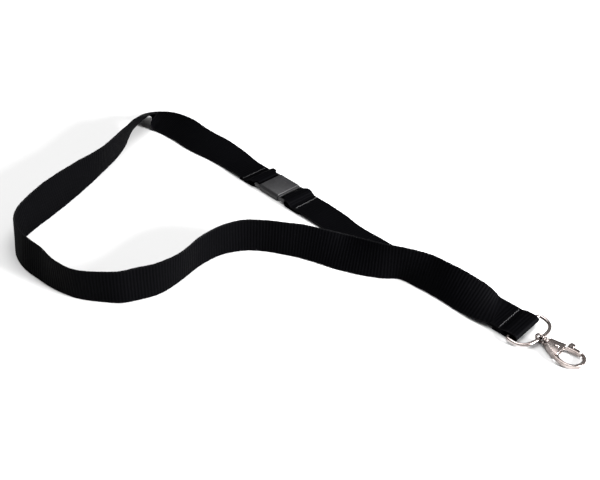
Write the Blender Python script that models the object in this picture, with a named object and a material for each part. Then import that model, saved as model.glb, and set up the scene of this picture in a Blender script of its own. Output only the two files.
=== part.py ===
"""Neck lanyard with a quick-release buckle and a swivelling trigger hook.

The model lies on its table (z = 0) as one loop: a long neck strap, mostly on its
edge, runs from the ring end round to the buckle's socket, and a short strap runs
from the buckle's plug back to the ring end. Lengths below are in millimetres and
angles in degrees; MM turns a length into the scene's metres.
"""

import math

import bmesh
import bpy
from mathutils import Matrix, Vector

MM = 0.001
GAP = 0.3                      # clearance between neighbouring solids

# Middle of the box that the whole lanyard fills, so that the origin is under it.
LAYOUT_CENTRE = (-7.35, 20.7)

# Webbing
STRAP_WIDTH = 20.0
STRAP_THICK = 0.9
STRAP_STEP = 3.0               # distance between two sections along a strap
LOOP_WIDTH = 16.0              # webbing gathered to pass between the buckle's arms
GATHER = 2.4                   # length over which it is gathered
TAIL = 3.5                     # folded end past its seam
LAYER = STRAP_THICK + GAP      # height of one layer in a stack
FLAT = -90.0                   # lean of webbing that lies flat
TABLE_GAP = 0.1                # between a strap and the table

# Wire of the ring, and the buckle's two bars
WIRE_RADIUS = 1.0
FOLD_RADIUS = WIRE_RADIUS + GAP + STRAP_THICK / 2

# Ring end: the strap's fold, with its heading out of the strap and its roll, and the
# ring, whose bar lies back in the fold's open loop and a little askew
FOLD_PLACE = (115.4, -71.2, 2.9)
FOLD_HEADING = -43.0
FOLD_SEAM = 9.2                # from the fold to its seam
END_ROLL = 3.5
LOOP_OPEN = 4.2                # how far back a folded loop stays fully open
LOOP_CLOSED = 8.5              # and where its layers lie together
RING_BAR = (114.7, -69.8, 2.9)
RING_HEADING = -50.0
RING_HALF_WIDTH = 12.7
RING_DEPTH = 11.3
RING_SHOULDER = 1.6            # where the bar's corners meet the bow
RING_SQUARENESS = 2.8          # 2 is an ellipse; higher is squarer
RING_STRAIGHT = 10.5           # half of the bar's straight part
EYE_PLACE = 11.0               # from the bar to the middle of the eye

# Buckle: middle of its face over the table, and the heading from socket to plug
BUCKLE_CENTRE = (-14.0, 51.3)
BUCKLE_HEADING = -44.5
BUCKLE_FACE = 16.0
BUCKLE_WIDTH = 19.0
BUCKLE_TOP_WIDTH = 16.8
BUCKLE_BOTTOM = 0.3
BUCKLE_EDGE = 0.5              # cut off the lower edges
BUCKLE_SHOULDER = 2.8
BUCKLE_TOP = 4.4
BAR_HEIGHT = 2.3
LIP_LENGTH = 1.2
LIP_WIDTH = 18.0
LIP_LOW, LIP_HIGH = 0.6, 3.7
LIP_OVERLAP = 0.4              # how far a lip and its arms run into each other
BAR_REACH = 2.9                # from a lip's outer face to the bar's axis
ARM_INNER, ARM_OUTER = 8.3, 9.4
ARM_LOW, ARM_HIGH = 1.3, 3.3
CAVITY_DEPTH = 14.0
CAVITY_WIDTH = 13.4
CAVITY_LOW, CAVITY_HIGH = 1.3, 3.3
BUCKLE_SEAM = 10.8             # from a bar to its seam
PRONG_LENGTH = 12.6
PRONG_WIDTH = 3.4
PRONG_OUTER = 6.2

# Trigger hook, along its own axis from the middle of its eye
HOOK_HEADING = -41.5
HOOK_PITCH = 3.6               # the claw rests lower than the eye
EYE_RADIUS = 2.05
EYE_WIRE = 0.7
FLANGE_START, FLANGE_END, FLANGE_RADIUS = 2.45, 3.2, 2.2
POST_RADIUS = 0.95
RIVET_START, RIVET_END, RIVET_RADIUS = 6.5, 7.2, 1.6
COLLAR_START, COLLAR_END, COLLAR_RADIUS = 3.8, 4.9, 2.35
BODY_HALF = 2.0
CLAW_HALF = 1.05
PIN_PLACE = (9.4, -0.3)
PIN_RADIUS = 0.8
PIN_HEAD_RADIUS = 1.25
PIN_HEAD = 0.35
SLOT_HALF = 1.2
SLOT_END = 13.9
SLOT_DEEP, SLOT_HIGH = -2.6, 7.0
TONGUE_LOW, TONGUE_HIGH = -0.9, 0.1
TONGUE_RADIUS = 1.9
TAB_HALF = 0.8
SPRING_RADIUS = 1.45
SPRING_WIRE = 0.12
SPRING_TURNS = 2
SPRING_LOW, SPRING_HIGH = 0.38, 0.96

# Seams: thread laid in one row across a strap
THREAD_LENGTH = 18.0
THREAD_WIDTH = 0.6
THREAD_HEIGHT = 0.3

# The straps' own routes, each point (x, y, lean, lift): the middle of the webbing
# in plan, how far its upper edge leans to the left of the way along it (0 is on
# edge, -90 is flat) and how far it is held clear of the table.
NECK_ROUTE = [
    (99.0, -58.5, -73, 1.4), (89.2, -52.3, -48, 0), (79, -45.4, -30, 0),
    (68, -37.1, -23, 0), (55, -31.2, -6, 0), (44, -29.3, -17, 0), (34, -25.8, -26, 0),
    (24.5, -22, -31, 0), (13.4, -18.7, -21, 0), (1, -14.8, -14, 0),
    (-10.7, -12.7, -8, 0), (-22, -11.2, -5, 0), (-33.2, -12.3, -4, 0),
    (-44, -18, 1, 0), (-53.6, -28.3, 3, 0), (-62.3, -42.5, 5, 0), (-72, -53, -1, 0),
    (-82.3, -58.4, -4, 0), (-91, -61.8, -2, 0), (-102, -62, 2, 0), (-112, -61, 4, 0),
    (-124, -55, 0, 0), (-136, -44.6, -10, 0), (-149, -32.5, -9, 0),
    (-155.8, -20, -4, 0), (-154.9, -6, 7, 0), (-151.8, 3.5, 12, 0),
    (-146.9, 16.1, 18, 0), (-135.3, 39.5, 8, 0), (-125.9, 58.7, -7, 0),
    (-116.8, 86.6, -13, 0), (-113.5, 102, -24, 0), (-112, 112, -46, 0.5),
    (-110.5, 122, -58, 1.5), (-106.5, 128.5, -68, 2), (-100, 128, -98, 1.6),
    (-95, 125, -107, 0.4), (-90, 121, -112, 0), (-83.7, 115.3, -116, 0), (-69, 101.2, -112, 0),
    (-54, 90, -106, 0), (-43, 80.3, -97, 0.3),
]
SHORT_ROUTE = [
    (18.4, 19.7, -90, 0.3), (27.1, 8.8, -90, 0), (38.9, -2.5, -90, 0),
    (48.5, -11.4, -90, 0), (62, -21.2, -90, 0), (73, -31.6, -91, 0),
    (84.4, -40.2, -94, 0), (94.2, -49.2, -100, 0), (100.6, -57.2, -98, 0.2),
]


def clear_scene():
    """Remove every object that is already in the scene."""
    for obj in list(bpy.data.objects):
        bpy.data.objects.remove(obj, do_unlink=True)


def material(name, colour, roughness, metallic=0.0):
    """Principled material with one colour."""
    mat = bpy.data.materials.new(name)
    mat.use_nodes = True
    shader = mat.node_tree.nodes["Principled BSDF"]
    shader.inputs["Base Color"].default_value = (*colour, 1.0)
    shader.inputs["Roughness"].default_value = roughness
    shader.inputs["Metallic"].default_value = metallic
    mat.diffuse_color = (*colour, 1.0)
    return mat


def frame_at(place, heading, roll=0.0):
    """Matrix of a local frame in metres: X along the heading, Y across, Z up."""
    x, y, z = place
    move = Matrix.Translation(Vector((x - LAYOUT_CENTRE[0], y - LAYOUT_CENTRE[1], z)) * MM)
    turn = Matrix.Rotation(math.radians(heading), 4, "Z")
    turn = turn @ Matrix.Rotation(math.radians(roll), 4, "X")
    return move @ turn


def ease(value):
    """Smooth step from 0 to 1."""
    value = min(max(value, 0.0), 1.0)
    return value * value * (3.0 - 2.0 * value)


def build(name, mesh_data, mat, matrix=None, smooth_angle=None):
    """Object from a bmesh, placed by a matrix, with one material."""
    bmesh.ops.remove_doubles(mesh_data, verts=mesh_data.verts, dist=0.000001)
    bmesh.ops.recalc_face_normals(mesh_data, faces=mesh_data.faces)
    mesh = bpy.data.meshes.new(name)
    mesh_data.to_mesh(mesh)
    mesh_data.free()
    if smooth_angle is not None:
        mesh.shade_smooth()
        mesh.set_sharp_from_angle(angle=math.radians(smooth_angle))
    obj = bpy.data.objects.new(name, mesh)
    if matrix is not None:
        obj.matrix_world = matrix
    if mat is not None:
        obj.data.materials.append(mat)
    bpy.context.scene.collection.objects.link(obj)
    return obj


def combine(target, tools, operation):
    """Join or cut the target with tools; each tool goes once it is applied."""
    for tool in tools:
        modifier = target.modifiers.new("boolean", "BOOLEAN")
        modifier.operation = operation
        modifier.solver = "EXACT"
        modifier.object = tool
        bpy.context.view_layer.update()
        depsgraph = bpy.context.evaluated_depsgraph_get()
        mesh = bpy.data.meshes.new_from_object(target.evaluated_get(depsgraph))
        target.modifiers.clear()
        target.data = mesh
        bpy.data.objects.remove(tool, do_unlink=True)


# ---------------------------------------------------------------- webbing

def route_point(point):
    """Centre (x, y, z, lean) in mm of the webbing at one point of a route."""
    x, y, lean, lift = point
    angle = math.radians(lean)
    rise = STRAP_WIDTH / 2 * abs(math.cos(angle))
    rise += STRAP_THICK / 2 * abs(math.sin(angle)) + TABLE_GAP
    return (x, y, rise + lift, lean)


def frame_point(place, heading, roll, along, height, lean):
    """Centre (x, y, z, lean) in mm of a point given in an end's own frame."""
    local = frame_at((0, 0, 0), heading, roll).to_3x3() @ Vector((along, 0, height))
    return (place[0] + local.x, place[1] + local.y, place[2] + local.z, lean)


def slope_at(values, knots, i):
    """Rate of change of the values at one knot, from its neighbours."""
    low, high = max(i - 1, 0), min(i + 1, len(values) - 1)
    if low == i or high == i:
        return (values[high] - values[low]) / (knots[high] - knots[low])
    left, right = knots[i] - knots[low], knots[high] - knots[i]
    before = (values[i] - values[low]) / left
    after = (values[high] - values[i]) / right
    return (before * right + after * left) / (left + right)


def smooth_curve(points):
    """Dense (x, y, z, lean) samples of a smooth curve through such points."""
    values = [Vector(point) for point in points]
    knots = [0.0]
    for before, after in zip(values, values[1:]):
        knots.append(knots[-1] + (after.to_3d() - before.to_3d()).length)
    slopes = [slope_at(values, knots, i) for i in range(len(values))]
    samples = []
    for i in range(len(values) - 1):
        span = knots[i + 1] - knots[i]
        count = max(1, round(span / STRAP_STEP))
        for k in range(count):
            t = k / count
            samples.append(
                (2 * t**3 - 3 * t**2 + 1) * values[i] + (t**3 - 2 * t**2 + t) * span * slopes[i]
                + (3 * t**2 - 2 * t**3) * values[i + 1] + (t**3 - t**2) * span * slopes[i + 1]
            )
    samples.append(values[-1])
    return samples


def route_sections(points):
    """Sections (centre, across, width) along a route."""
    samples = smooth_curve(points)
    centres = [sample.to_3d() for sample in samples]
    sections = []
    for i, sample in enumerate(samples):
        ahead = centres[min(i + 1, len(centres) - 1)] - centres[max(i - 1, 0)]
        ahead.normalize()
        side = Vector((0, 0, 1)).cross(ahead).normalized()
        upright = ahead.cross(side)
        lean = math.radians(sample.w)
        across = upright * math.cos(lean) + side * math.sin(lean)
        sections.append((centres[i], across, STRAP_WIDTH))
    return sections


def fold_sections(place, heading, roll, layers_below, seam, gathered, direction):
    """Sections of the end folded round a bar, from the seam's far side to the tail.

    layers_below counts the layers under the top one at the seam; gathered is the
    webbing's width on the bar and direction is +1 or -1 for the way it is read.
    """
    frame = frame_at((0, 0, 0), heading, roll).to_3x3()
    across = frame @ Vector((0, direction, 0))
    lead = -FOLD_RADIUS + layers_below * LAYER
    path = []
    reach = seam + TAIL
    for k in range(4):
        path.append((-reach + k * (reach - LOOP_CLOSED) / 4, lead))
    for k in range(8):
        share = k / 8
        along = -LOOP_CLOSED + share * (LOOP_CLOSED - LOOP_OPEN)
        path.append((along, lead + (FOLD_RADIUS - lead) * ease(share)))
    path += [(-LOOP_OPEN, FOLD_RADIUS), (-LOOP_OPEN / 2, FOLD_RADIUS)]
    for k in range(13):
        angle = math.radians(90 - 15 * k)
        path.append((FOLD_RADIUS * math.cos(angle), FOLD_RADIUS * math.sin(angle)))
    for k in range(1, 6):
        path.append((-k * reach / 5, -FOLD_RADIUS))
    sections = []
    for along, height in path:
        width = gathered + (STRAP_WIDTH - gathered) * ease(-along / GATHER)
        centre = Vector(place) + frame @ Vector((along, 0, height))
        sections.append((centre, across, width))
    return sections


def webbing(name, sections, mat):
    """Closed flat strap through its sections."""
    mesh = bmesh.new()
    rings = []
    shift = Vector((LAYOUT_CENTRE[0], LAYOUT_CENTRE[1], 0))
    for i, (centre, across, width) in enumerate(sections):
        ahead = sections[min(i + 1, len(sections) - 1)][0] - sections[max(i - 1, 0)][0]
        normal = ahead.cross(across).normalized() * STRAP_THICK / 2
        half = across * width / 2
        corners = (half + normal, half - normal, -half - normal, -half + normal)
        rings.append([mesh.verts.new((centre - shift + corner) * MM) for corner in corners])
    for first, second in zip(rings, rings[1:]):
        for k in range(4):
            mesh.faces.new((first[k], first[(k + 1) % 4], second[(k + 1) % 4], second[k]))
    mesh.faces.new(rings[0][::-1])
    mesh.faces.new(rings[-1])
    return build(name, mesh, mat)


def thread_row(name, frame, along, height, mat):
    """One row of sewing thread across a strap."""
    mesh = bmesh.new()
    bmesh.ops.create_cube(mesh, size=1.0)
    bmesh.ops.scale(mesh, verts=mesh.verts,
                    vec=Vector((THREAD_WIDTH, THREAD_LENGTH, THREAD_HEIGHT)) * MM)
    lift = Matrix.Translation(Vector((along, 0, height)) * MM)
    return build(name, mesh, mat, frame @ lift)


# ---------------------------------------------------------------- solids

def prism(name, outline, low, high, mat=None, matrix=None, axis="Z"):
    """Outline (mm) extruded from low to high along Z, or along X with axis "X"."""
    mesh = bmesh.new()
    if axis == "X":
        corners = [mesh.verts.new(Vector((low, a, b)) * MM) for a, b in outline]
        depth = Vector((high - low, 0, 0)) * MM
    else:
        corners = [mesh.verts.new(Vector((a, b, low)) * MM) for a, b in outline]
        depth = Vector((0, 0, high - low)) * MM
    face = mesh.faces.new(corners)
    grown = bmesh.ops.extrude_face_region(mesh, geom=[face])
    moved = [item for item in grown["geom"] if isinstance(item, bmesh.types.BMVert)]
    bmesh.ops.translate(mesh, verts=moved, vec=depth)
    return build(name, mesh, mat, matrix)


def box(name, low, high, mat=None, matrix=None):
    """Axis-aligned box in a local frame, corners in mm."""
    outline = [(low[0], low[1]), (high[0], low[1]), (high[0], high[1]), (low[0], high[1])]
    return prism(name, outline, low[2], high[2], mat, matrix)


def rod(name, start, end, radius, mat=None, matrix=None, sides=20):
    """Round bar between two points of a local frame."""
    start, end = Vector(start), Vector(end)
    turn = Vector((0, 0, 1)).rotation_difference((end - start).normalized())
    place = Matrix.Translation((start + end) / 2 * MM) @ turn.to_matrix().to_4x4()
    mesh = bmesh.new()
    bmesh.ops.create_cone(mesh, cap_ends=True, segments=sides, radius1=radius * MM,
                          radius2=radius * MM, depth=(end - start).length * MM)
    bmesh.ops.transform(mesh, matrix=place, verts=mesh.verts)
    return build(name, mesh, mat, matrix, smooth_angle=40)


def tube(name, path, radius, mat=None, matrix=None, closed=False, sides=12):
    """Round wire along a path in mm."""
    mesh = bmesh.new()
    rings = []
    total = len(path)
    normal = None
    for i, point in enumerate(path):
        before = path[(i - 1) % total] if closed else path[max(i - 1, 0)]
        after = path[(i + 1) % total] if closed else path[min(i + 1, total - 1)]
        ahead = (Vector(after) - Vector(before)).normalized()
        if normal is None:
            normal = ahead.orthogonal().normalized()
        normal = (normal - ahead * normal.dot(ahead)).normalized()
        other = ahead.cross(normal)
        rings.append([
            mesh.verts.new((Vector(point) + (normal * math.cos(a) + other * math.sin(a)) * radius) * MM)
            for a in (2 * math.pi * k / sides for k in range(sides))
        ])
    pairs = list(zip(rings, rings[1:]))
    if closed:
        pairs.append((rings[-1], rings[0]))
    for first, second in pairs:
        for k in range(sides):
            mesh.faces.new((first[k], first[(k + 1) % sides], second[(k + 1) % sides], second[k]))
    if not closed:
        mesh.faces.new(rings[0][::-1])
        mesh.faces.new(rings[-1])
    return build(name, mesh, mat, matrix, smooth_angle=50)


def turned(name, profile, mat=None, matrix=None, sides=24):
    """Solid of revolution about the local X axis from (x, radius) points."""
    mesh = bmesh.new()
    rings = []
    for along, radius in profile:
        rings.append([
            mesh.verts.new(Vector((along, radius * math.cos(a), radius * math.sin(a))) * MM)
            for a in (2 * math.pi * k / sides for k in range(sides))
        ])
    for first, second in zip(rings, rings[1:]):
        for k in range(sides):
            mesh.faces.new((first[k], first[(k + 1) % sides], second[(k + 1) % sides], second[k]))
    mesh.faces.new(rings[0][::-1])
    mesh.faces.new(rings[-1])
    return build(name, mesh, mat, matrix, smooth_angle=40)


def arc(centre, radius, start, end, count, stretch=1.0):
    """Points of an arc; stretch scales its first coordinate."""
    points = []
    for k in range(count + 1):
        angle = math.radians(start + (end - start) * k / count)
        points.append((centre[0] + radius * stretch * math.cos(angle),
                       centre[1] + radius * math.sin(angle)))
    return points


# ---------------------------------------------------------------- buckle

def strap_end(name, inner, mat, frame, side):
    """Lip, two arms and the bar of one buckle end; side is -1 for socket, +1 for plug."""
    outer = inner + side * LIP_LENGTH
    bar = outer + side * BAR_REACH
    tip = bar + side * WIRE_RADIUS

    def span(a, b):
        return (min(a, b), max(a, b))

    lip_x = span(inner, outer)
    arm_x = span(outer - side * LIP_OVERLAP, tip)
    lip = box(name, (lip_x[0], -LIP_WIDTH / 2, LIP_LOW), (lip_x[1], LIP_WIDTH / 2, LIP_HIGH), mat, frame)
    pieces = []
    for low, high in ((-ARM_OUTER, -ARM_INNER), (ARM_INNER, ARM_OUTER)):
        pieces.append(box("arm", (arm_x[0], low, ARM_LOW), (arm_x[1], high, ARM_HIGH), None, frame))
    mid = (ARM_INNER + ARM_OUTER) / 2
    pieces.append(rod("bar", (bar, -mid, BAR_HEIGHT), (bar, mid, BAR_HEIGHT), WIRE_RADIUS, None, frame))
    combine(lip, pieces, "UNION")
    return lip, bar


def buckle_socket(mat, frame):
    """Hollow half of the buckle, with its strap bar."""
    half, top = BUCKLE_WIDTH / 2, BUCKLE_TOP_WIDTH / 2
    profile = [
        (-half + BUCKLE_EDGE, BUCKLE_BOTTOM), (half - BUCKLE_EDGE, BUCKLE_BOTTOM),
        (half, BUCKLE_BOTTOM + BUCKLE_EDGE),
        (half, BUCKLE_SHOULDER), (top, BUCKLE_TOP), (-top, BUCKLE_TOP),
        (-half, BUCKLE_SHOULDER), (-half, BUCKLE_BOTTOM + BUCKLE_EDGE),
    ]
    end = BUCKLE_FACE / 2
    shell = prism("buckle_socket", profile, -end, end, mat, frame, axis="X")
    lip, bar = strap_end("socket_end", -end + LIP_OVERLAP, None, frame, -1)
    combine(shell, [lip], "UNION")
    cavity = box("cavity", (end - CAVITY_DEPTH, -CAVITY_WIDTH / 2, CAVITY_LOW),
                 (end + 1, CAVITY_WIDTH / 2, CAVITY_HIGH), None, frame)
    combine(shell, [cavity], "DIFFERENCE")
    return shell, bar


def buckle_plug(mat, frame):
    """Plug half of the buckle: its lip and bar, and two prongs in the socket."""
    start = BUCKLE_FACE / 2 + GAP
    plug, bar = strap_end("buckle_plug", start, mat, frame, 1)
    prongs = []
    for side in (-1, 1):
        outer = side * PRONG_OUTER
        inner = side * (PRONG_OUTER - PRONG_WIDTH)
        tip = start - PRONG_LENGTH
        outline = [
            (start + 0.5, inner), (tip + 0.6, inner), (tip, inner + side * 0.9),
            (tip, outer - side * 1.2), (tip + 1.2, outer), (start + 0.5, outer),
        ]
        prongs.append(prism("prong", outline, CAVITY_LOW + GAP, CAVITY_HIGH - GAP, None, frame))
    combine(plug, prongs, "UNION")
    return plug, bar


# ---------------------------------------------------------------- ring and hook

def ring_path():
    """Middle line of the D-shaped ring: a straight bar and a squarish bow."""
    half, power = RING_HALF_WIDTH, 2 / RING_SQUARENESS
    points = [(0, -RING_STRAIGHT + RING_STRAIGHT * k / 4) for k in range(9)]
    corner = [(0.15, half - 1.2), (0.7, half - 0.35)]
    points += corner
    for k in range(37):
        angle = math.radians(90 - 5 * k)
        swell = max(math.cos(angle), 0.0) ** power
        side = math.copysign(abs(math.sin(angle)) ** power, math.sin(angle))
        points.append((RING_SHOULDER + (RING_DEPTH - RING_SHOULDER) * swell, half * side))
    points += [(x, -y) for x, y in corner[::-1]]
    return [(x, y, 0) for x, y in points]


def swivel_eye(mat, frame):
    """Eye on the ring, its flange, and the post riveted inside the hook's body."""
    path = [(x, 0, z) for x, z in arc((0, 0), EYE_RADIUS, 0, 360, 28)[:-1]]
    eye = tube("swivel_eye", path, EYE_WIRE, mat, frame, closed=True)
    profile = [
        (EYE_RADIUS - 0.2, 0.55), (EYE_RADIUS + 0.1, 1.25), (FLANGE_START, 1.5),
        (FLANGE_START, FLANGE_RADIUS), (FLANGE_END, FLANGE_RADIUS), (FLANGE_END, POST_RADIUS),
        (RIVET_START, POST_RADIUS), (RIVET_START, RIVET_RADIUS), (RIVET_END, RIVET_RADIUS - 0.3),
    ]
    combine(eye, [turned("stem", profile, None, frame)], "UNION")
    return eye


def claw_outline():
    """Outline of the fixed claw, round the tip to its notched nose and back inside."""
    return [
        (9.0, -5.1), (11.0, -6.3), (13.0, -7.2), (15.2, -7.75), (17.4, -7.85), (19.4, -7.55),
        (21.2, -6.75), (22.8, -5.5), (24.0, -3.9), (24.8, -1.9), (25.0, 0.2), (24.7, 2.2),
        (23.8, 4.0), (22.3, 5.3), (20.3, 6.05),
        (20.3, 5.1), (21.6, 4.9), (21.6, 3.75),
        (22.6, 2.7), (23.1, 1.2), (23.15, -0.6), (22.8, -2.4), (21.8, -4.2), (20.2, -5.5),
        (18.0, -6.05), (15.8, -5.9), (13.9, -5.2), (12.8, -4.0), (12.4, -2.4), (9.0, -2.4),
    ]


def hook_body(mat, frame):
    """Collar, wedge-shaped body with the trigger's slot, and the fixed claw."""
    wedge = [(COLLAR_END - 0.3, -2.4), (6.4, -3.6), (9.0, -4.9), (11.4, -5.9), (12.4, -5.4),
             (12.4, 4.3), (8.7, 3.2), (6.4, 2.7), (COLLAR_END - 0.3, 2.2)]
    body = prism("hook_body", wedge, -BODY_HALF, BODY_HALF, mat, frame)
    claw = prism("claw", claw_outline(), -CLAW_HALF, CLAW_HALF, None, frame)
    rim = COLLAR_RADIUS - 0.2
    collar = turned("collar", [(COLLAR_START, rim), (COLLAR_START + 0.3, COLLAR_RADIUS),
                               (COLLAR_END - 0.2, COLLAR_RADIUS), (COLLAR_END, rim)], None, frame)
    combine(body, [claw, collar], "UNION")
    bore = rod("bore", (COLLAR_START - 1, 0, 0), (RIVET_START, 0, 0), POST_RADIUS + GAP, None, frame)
    chamber = rod("chamber", (RIVET_START - GAP, 0, 0), (RIVET_END + 0.6, 0, 0),
                  RIVET_RADIUS + GAP, None, frame)
    slot_outline = [(RIVET_END, SLOT_DEEP), (SLOT_END, SLOT_DEEP), (SLOT_END, SLOT_HIGH),
                    (RIVET_END, SLOT_HIGH)]
    slot = prism("slot", slot_outline, -SLOT_HALF, SLOT_HALF, None, frame)
    hole = rod("hole", (*PIN_PLACE, -4), (*PIN_PLACE, 4), PIN_RADIUS + GAP, None, frame)
    combine(body, [bore, chamber, slot, hole], "DIFFERENCE")
    return body


def gate_lever(mat, frame):
    """Spring-closed gate with the thumb tab on its outer side."""
    x, y = PIN_PLACE
    tongue = arc((x, y), TONGUE_RADIUS, 120, 290, 12) + [(12.6, 2.2), (13.8, 3.6), (12.4, 4.2)]
    lever = prism("gate_lever", tongue, TONGUE_LOW, TONGUE_HIGH, mat, frame)
    arm = [(12.9, 3.0), (14.3, 3.2), (16.8, 3.65), (18.8, 3.85), (20.9, 3.85), (20.9, 4.6),
           (19.35, 4.8), (19.35, 6.15), (18.3, 6.35), (15.7, 6.1), (12.9, 5.0)]
    tab = [(13.0, 4.6), (15.4, 5.6), (15.9, 7.9), (14.6, 8.8), (13.0, 8.4), (12.7, 6.4)]
    pieces = [
        prism("arm", arm, -CLAW_HALF, CLAW_HALF, None, frame),
        prism("tab", tab, -TAB_HALF, TAB_HALF, None, frame),
    ]
    combine(lever, pieces, "UNION")
    hole = rod("hole", (x, y, -4), (x, y, 4), PIN_RADIUS + GAP, None, frame)
    combine(lever, [hole], "DIFFERENCE")
    return lever


def lever_pin(mat, frame):
    """Rivet that the gate turns on."""
    x, y = PIN_PLACE
    under_head = BODY_HALF + GAP
    pin = rod("lever_pin", (x, y, -BODY_HALF), (x, y, under_head + PIN_HEAD / 2), PIN_RADIUS, mat, frame)
    head = rod("head", (x, y, under_head), (x, y, under_head + PIN_HEAD), PIN_HEAD_RADIUS, None, frame)
    combine(pin, [head], "UNION")
    return pin


def lever_spring(mat, frame):
    """Small torsion spring round the rivet, beside the gate's tongue."""
    x, y = PIN_PLACE
    count = 16 * SPRING_TURNS
    path = []
    for k in range(count + 1):
        angle = 2 * math.pi * k / 16
        height = SPRING_LOW + (SPRING_HIGH - SPRING_LOW) * k / count
        path.append((x + SPRING_RADIUS * math.cos(angle), y + SPRING_RADIUS * math.sin(angle), height))
    return tube("lever_spring", path, SPRING_WIRE, mat, frame, sides=6)


def main():
    """Build every piece of the lanyard."""
    clear_scene()
    webbing_mat = material("black_webbing", (0.022, 0.022, 0.026), 0.75)
    thread_mat = material("grey_thread", (0.12, 0.12, 0.13), 0.8)
    plastic_mat = material("grey_plastic", (0.16, 0.155, 0.165), 0.55)
    plug_mat = material("dark_plastic", (0.10, 0.10, 0.105), 0.55)
    nickel_mat = material("nickel", (0.72, 0.70, 0.69), 0.22, 1.0)
    wire_mat = material("ring_wire", (0.70, 0.69, 0.68), 0.18, 1.0)
    steel_mat = material("spring_steel", (0.45, 0.45, 0.46), 0.3, 1.0)

    buckle = frame_at((*BUCKLE_CENTRE, 0), BUCKLE_HEADING)
    socket_bar = buckle_socket(plastic_mat, buckle)[1]
    plug_bar = buckle_plug(plug_mat, buckle)[1]
    away = Vector((math.cos(math.radians(BUCKLE_HEADING)), math.sin(math.radians(BUCKLE_HEADING)), 0))
    middle = Vector((*BUCKLE_CENTRE, BAR_HEIGHT))
    socket_place = middle + away * socket_bar
    plug_place = middle + away * plug_bar

    bar_top = -FOLD_RADIUS + LAYER
    start = BUCKLE_SEAM + TAIL
    neck = [frame_point(FOLD_PLACE, FOLD_HEADING, END_ROLL, -along, -FOLD_RADIUS + 2 * LAYER,
                        FLAT + END_ROLL) for along in (FOLD_SEAM + TAIL, FOLD_SEAM + TAIL + 2.5)]
    neck += [route_point(point) for point in NECK_ROUTE]
    neck += [frame_point(socket_place, BUCKLE_HEADING, 0, -along, bar_top, FLAT)
             for along in (start + 5, start)]
    ring_fold = fold_sections(FOLD_PLACE, FOLD_HEADING, END_ROLL, 2, FOLD_SEAM, STRAP_WIDTH, 1)
    socket_fold = fold_sections(socket_place, BUCKLE_HEADING, 0, 1, BUCKLE_SEAM, LOOP_WIDTH, -1)
    sections = ring_fold[:0:-1] + route_sections(neck) + socket_fold[1:]
    webbing("neck_strap", sections, webbing_mat)

    back = BUCKLE_HEADING + 180
    short = [frame_point(plug_place, back, 0, -along, bar_top, FLAT)
             for along in (start, start + 5)]
    short += [route_point(point) for point in SHORT_ROUTE]
    short += [frame_point(FOLD_PLACE, FOLD_HEADING, END_ROLL, -along, -FOLD_RADIUS + LAYER,
                          FLAT - END_ROLL) for along in (FOLD_SEAM + TAIL + 1, LOOP_CLOSED - 2)]
    plug_fold = fold_sections(plug_place, back, 0, 1, BUCKLE_SEAM, LOOP_WIDTH, 1)
    webbing("short_strap", plug_fold[:0:-1] + route_sections(short), webbing_mat)

    ring_end = frame_at(FOLD_PLACE, FOLD_HEADING, END_ROLL)
    above = STRAP_THICK / 2 + GAP + THREAD_HEIGHT / 2
    thread_row("ring_seam", ring_end, -FOLD_SEAM, -FOLD_RADIUS + 2 * LAYER + above, thread_mat)
    for name, place, heading in (("socket_seam", socket_place, BUCKLE_HEADING),
                                 ("plug_seam", plug_place, back)):
        thread_row(name, frame_at(place, heading), -BUCKLE_SEAM, bar_top + above, thread_mat)

    ring_frame = frame_at(RING_BAR, RING_HEADING, END_ROLL)
    tube("d_ring", ring_path(), WIRE_RADIUS, wire_mat, ring_frame, closed=True)
    crown = ring_frame @ Vector((EYE_PLACE * MM, 0, 0))
    hook = Matrix.Translation(crown) @ Matrix.Rotation(math.radians(HOOK_HEADING), 4, "Z")
    hook = hook @ Matrix.Rotation(math.radians(HOOK_PITCH), 4, "Y")
    swivel_eye(nickel_mat, hook)
    hook_body(nickel_mat, hook)
    gate_lever(nickel_mat, hook)
    lever_pin(steel_mat, hook)
    lever_spring(steel_mat, hook)


main()
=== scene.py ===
"""Neck lanyard of ribbed black webbing, with a grey quick-release buckle, a D ring
and a nickel-plated swivel hook.

Each sub-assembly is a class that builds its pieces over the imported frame: the two
straps, the sewn seams, the buckle, the D ring and the hook. Sizes are millimetres
and angles degrees; MM turns a length into the scene's metres.
"""

import logging
import math
from dataclasses import dataclass, field
from enum import Enum
from typing import Callable, Iterable, Sequence

import bmesh
import bpy
from mathutils import Matrix, Vector

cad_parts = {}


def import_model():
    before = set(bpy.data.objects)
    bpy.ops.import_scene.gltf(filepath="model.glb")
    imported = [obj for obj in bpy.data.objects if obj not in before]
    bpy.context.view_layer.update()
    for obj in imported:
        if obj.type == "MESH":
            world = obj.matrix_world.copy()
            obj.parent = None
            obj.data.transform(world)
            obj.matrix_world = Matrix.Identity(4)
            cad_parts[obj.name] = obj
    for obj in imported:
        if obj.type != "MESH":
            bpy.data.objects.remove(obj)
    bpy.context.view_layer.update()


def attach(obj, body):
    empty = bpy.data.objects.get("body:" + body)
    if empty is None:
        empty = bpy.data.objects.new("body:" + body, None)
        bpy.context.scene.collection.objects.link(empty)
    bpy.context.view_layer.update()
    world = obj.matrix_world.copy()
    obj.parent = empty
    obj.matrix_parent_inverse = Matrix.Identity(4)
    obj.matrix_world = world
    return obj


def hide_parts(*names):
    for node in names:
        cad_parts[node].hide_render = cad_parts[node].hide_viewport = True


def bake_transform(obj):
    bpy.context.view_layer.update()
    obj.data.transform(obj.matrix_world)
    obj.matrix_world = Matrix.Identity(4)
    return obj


LOG = logging.getLogger("lanyard")

MM = 0.001
GAP = 0.3
LAYOUT_CENTRE = (-7.35, 20.7)


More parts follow.
